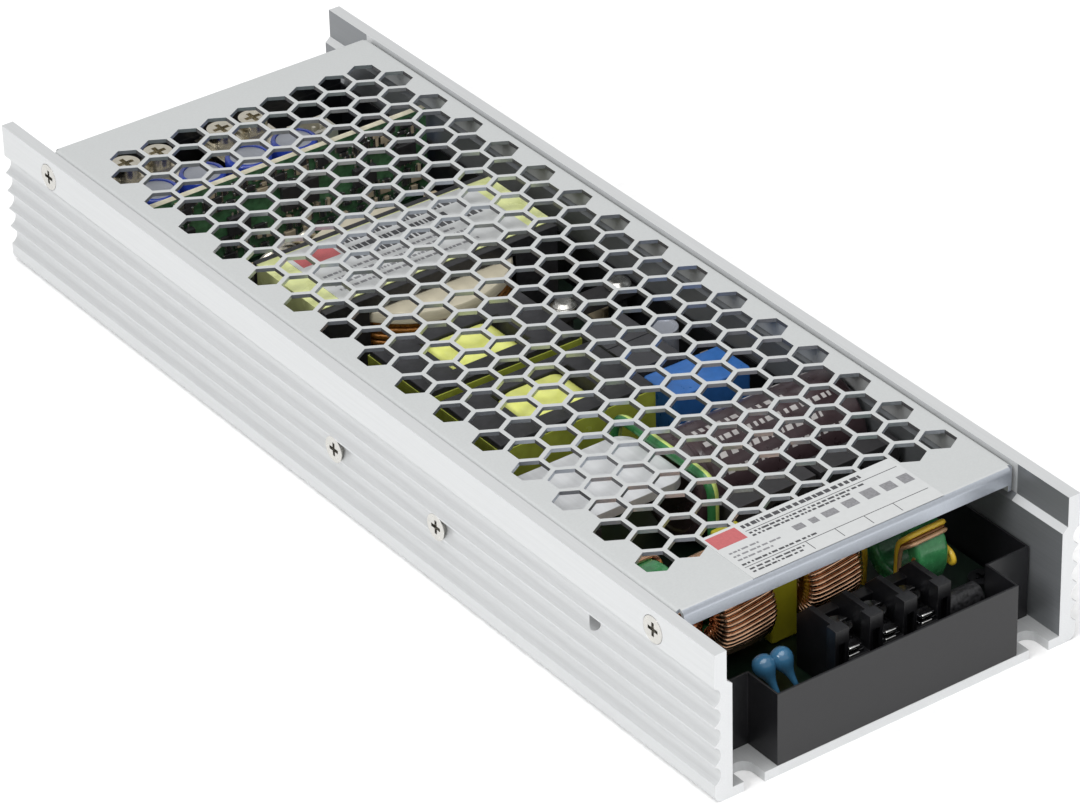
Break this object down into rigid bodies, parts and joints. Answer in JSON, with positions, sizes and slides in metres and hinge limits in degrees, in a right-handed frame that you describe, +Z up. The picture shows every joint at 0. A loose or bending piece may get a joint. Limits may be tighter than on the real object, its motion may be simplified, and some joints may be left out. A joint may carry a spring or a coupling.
{
  "type": "open frame power supply",
  "caption": "Low open frame power supply: a ribbed aluminium channel with a perforated cover, terminals at both ends and a board of chokes, transformer and capacitors.",
  "frame": {"origin": "on the floor under the middle of the channel", "axes": "+X across the channel to the right seen from the input end, +Y along it from the input terminals to the output terminals, +Z up"},
  "size_m": [0.081, 0.232, 0.031],
  "materials": {
    "anodised": "satin",
    "cover": "satin",
    "label": "matte",
    "screw": "satin",
    "tray": "satin",
    "board": "satin",
    "spacer": "satin",
    "block": "satin",
    "sleeve_black": "satin",
    "blue_disc": "gloss",
    "olive_box": "satin",
    "green_core": "satin",
    "copper": "gloss",
    "dark_case": "satin",
    "bulk_sleeve": "gloss",
    "film_blue": "satin",
    "relay_grey": "satin",
    "can": "satin",
    "spreader": "satin",
    "earth": "satin",
    "pad": "matte",
    "ferrite": "matte",
    "coil_tape": "satin",
    "tape": "satin",
    "cream_coil": "satin",
    "pale_tape": "satin",
    "litz": "satin",
    "tinned": "satin",
    "post": "satin",
    "trim_blue": "satin",
    "led": "gloss",
    "ivory": "satin",
    "small": "satin"
  },
  "bodies": {
    "root": {"chassis": "anodised", "cover": "cover", "cover_label": "label", "cover_screws": "screw", "device_screws": "screw", "insulation_tray": "tray", "main_board": "board", "standoffs": "spacer", "board_screws": "screw", "terminal_block": "block", "terminal_clamps": "tinned", "terminal_screws": "screw", "input_fuse": "sleeve_black", "y_capacitors": "blue_disc", "x_capacitor": "olive_box", "choke_core_1": "green_core", "choke_winding_1": "copper", "choke_core_2": "green_core", "choke_winding_2": "copper", "choke_core_3": "green_core", "choke_winding_3": "copper", "choke_core_4": "green_core", "choke_winding_4": "copper", "bridge_rectifiers": "dark_case", "bulk_capacitor": "bulk_sleeve", "film_capacitor": "film_blue", "relay": "relay_grey", "bias_capacitor": "can", "heat_spreader": "spreader", "spreader_devices": "dark_case", "earth_wire": "earth", "power_transistors": "dark_case", "transistor_pads": "pad", "inductor_core_1": "ferrite", "inductor_coil_1": "coil_tape", "inductor_tape_1": "tape", "inductor_core_2": "ferrite", "inductor_coil_2": "coil_tape", "inductor_tape_2": "tape", "transformer_core": "ferrite", "transformer_coil": "cream_coil", "transformer_tape": "pale_tape", "transformer_label": "label", "transformer_leads": "litz", "daughter_board": "board", "daughter_parts": "small", "output_capacitors": "can", "output_busbars": "tinned", "output_posts": "post", "output_screws": "tinned", "trimmer": "trim_blue", "indicator": "led", "signal_connector": "ivory", "small_parts": "small"}
  },
  "joints": []
}
